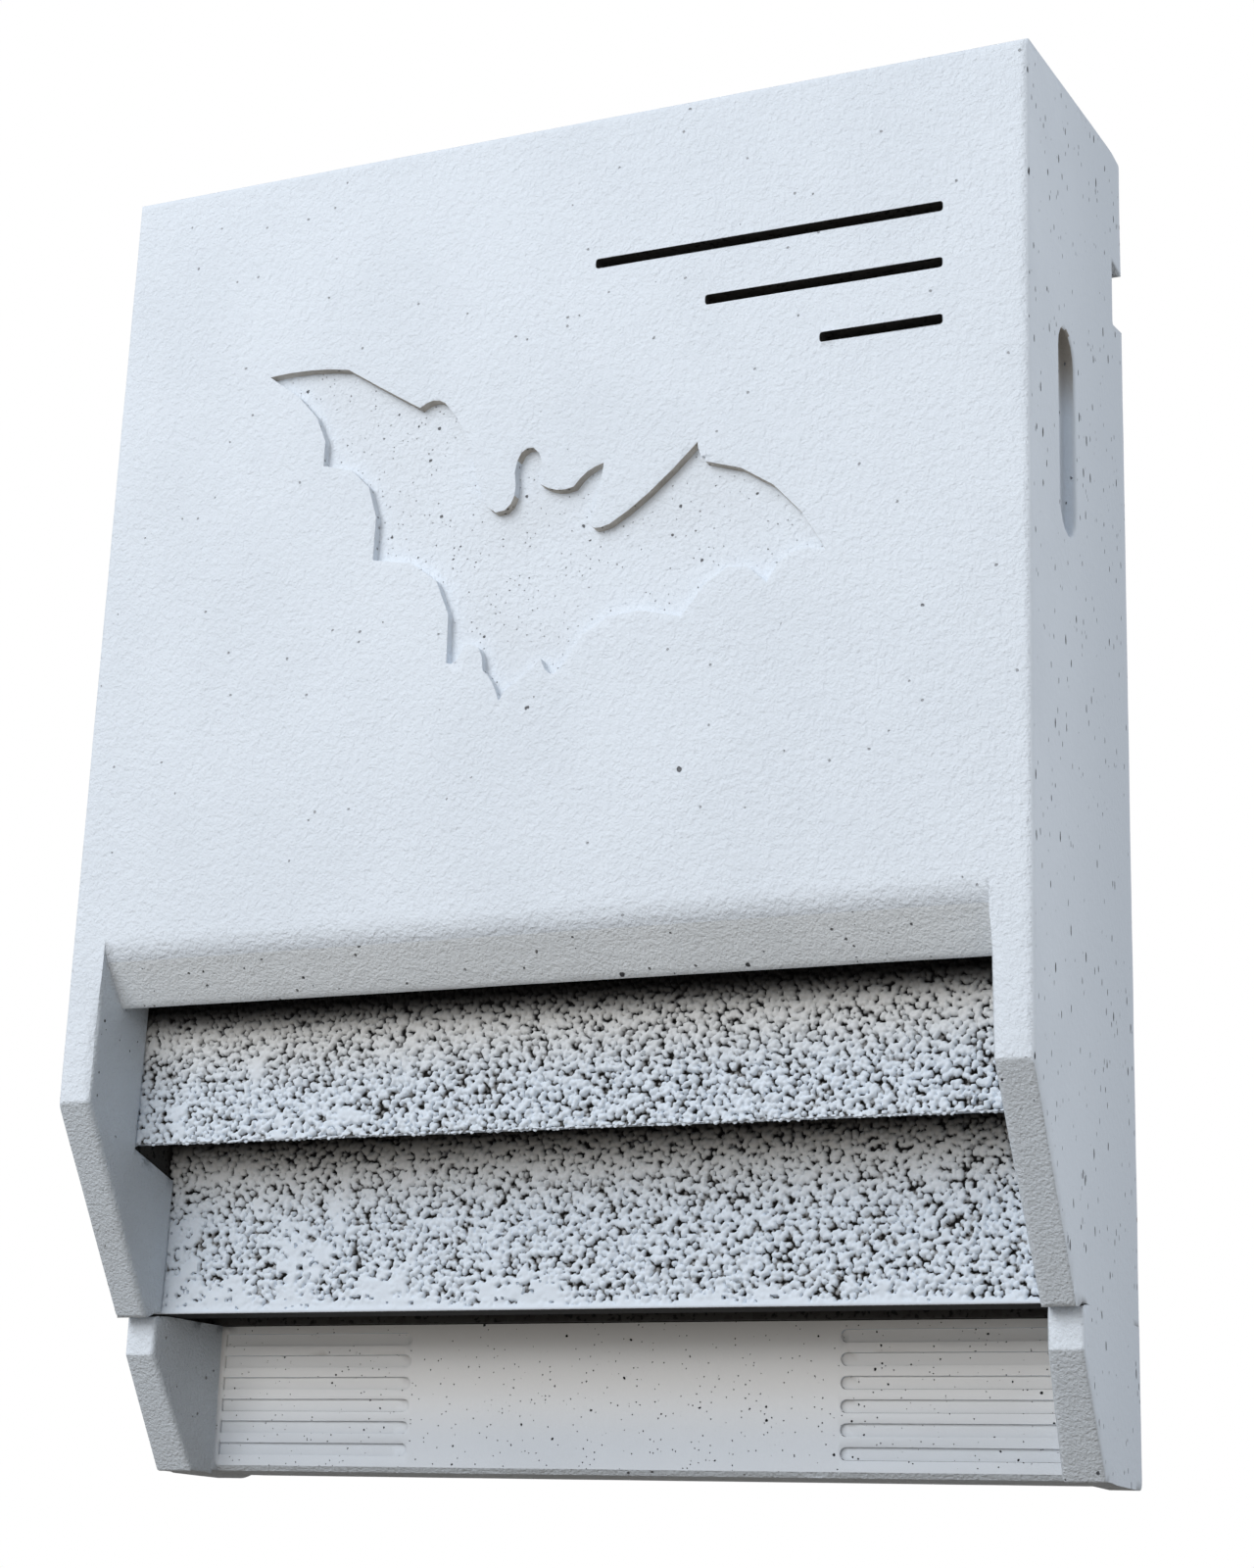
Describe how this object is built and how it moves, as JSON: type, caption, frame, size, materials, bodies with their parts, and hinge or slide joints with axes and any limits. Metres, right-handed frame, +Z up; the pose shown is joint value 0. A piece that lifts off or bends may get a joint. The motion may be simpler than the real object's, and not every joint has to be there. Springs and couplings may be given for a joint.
{
  "type": "bat box",
  "caption": "Wall-hung bat roost box cast in wood concrete, with baffles inside, vent slots and a grooved landing plate, lifted off a bevelled rail.",
  "frame": {"origin": "on the wall plane, midway along the line of the hanging rail's screws", "axes": "+Z up, -Y out from the wall towards the viewer, +X to the viewer's right"},
  "size_m": [0.38, 0.1976, 0.53],
  "materials": {
    "painted_casting": "matt light paint on cast wood concrete",
    "open_concrete": "open-pored granular wood concrete, painted on its peaks",
    "bare_concrete": "unpainted wood concrete",
    "rail_aluminium": "mill finish",
    "zinc_steel": "zinc plated",
    "grey_plastic": "moulded nylon"
  },
  "bodies": {
    "wall_hanger": {"hanging_rail": "rail_aluminium", "rail_screw_1": "zinc_steel", "rail_screw_2": "zinc_steel", "rail_screw_3": "zinc_steel", "rail_washer_1": "zinc_steel", "rail_washer_2": "zinc_steel", "rail_washer_3": "zinc_steel", "wall_plug_1": "grey_plastic", "wall_plug_2": "grey_plastic", "wall_plug_3": "grey_plastic"},
    "box": {"hood": "painted_casting", "base": "painted_casting", "rear_wall": "bare_concrete", "front_baffle": "open_concrete", "middle_baffle": "open_concrete", "front_spacer_left": "bare_concrete", "front_spacer_right": "bare_concrete", "rear_spacer_left": "bare_concrete", "rear_spacer_right": "bare_concrete"}
  },
  "joints": [
    {"name": "lift_off", "type": "slide", "parent": "wall_hanger", "child": "box", "axis": [0, -0.7071, 0.7071], "range_m": [0, 0.06]}
  ]
}
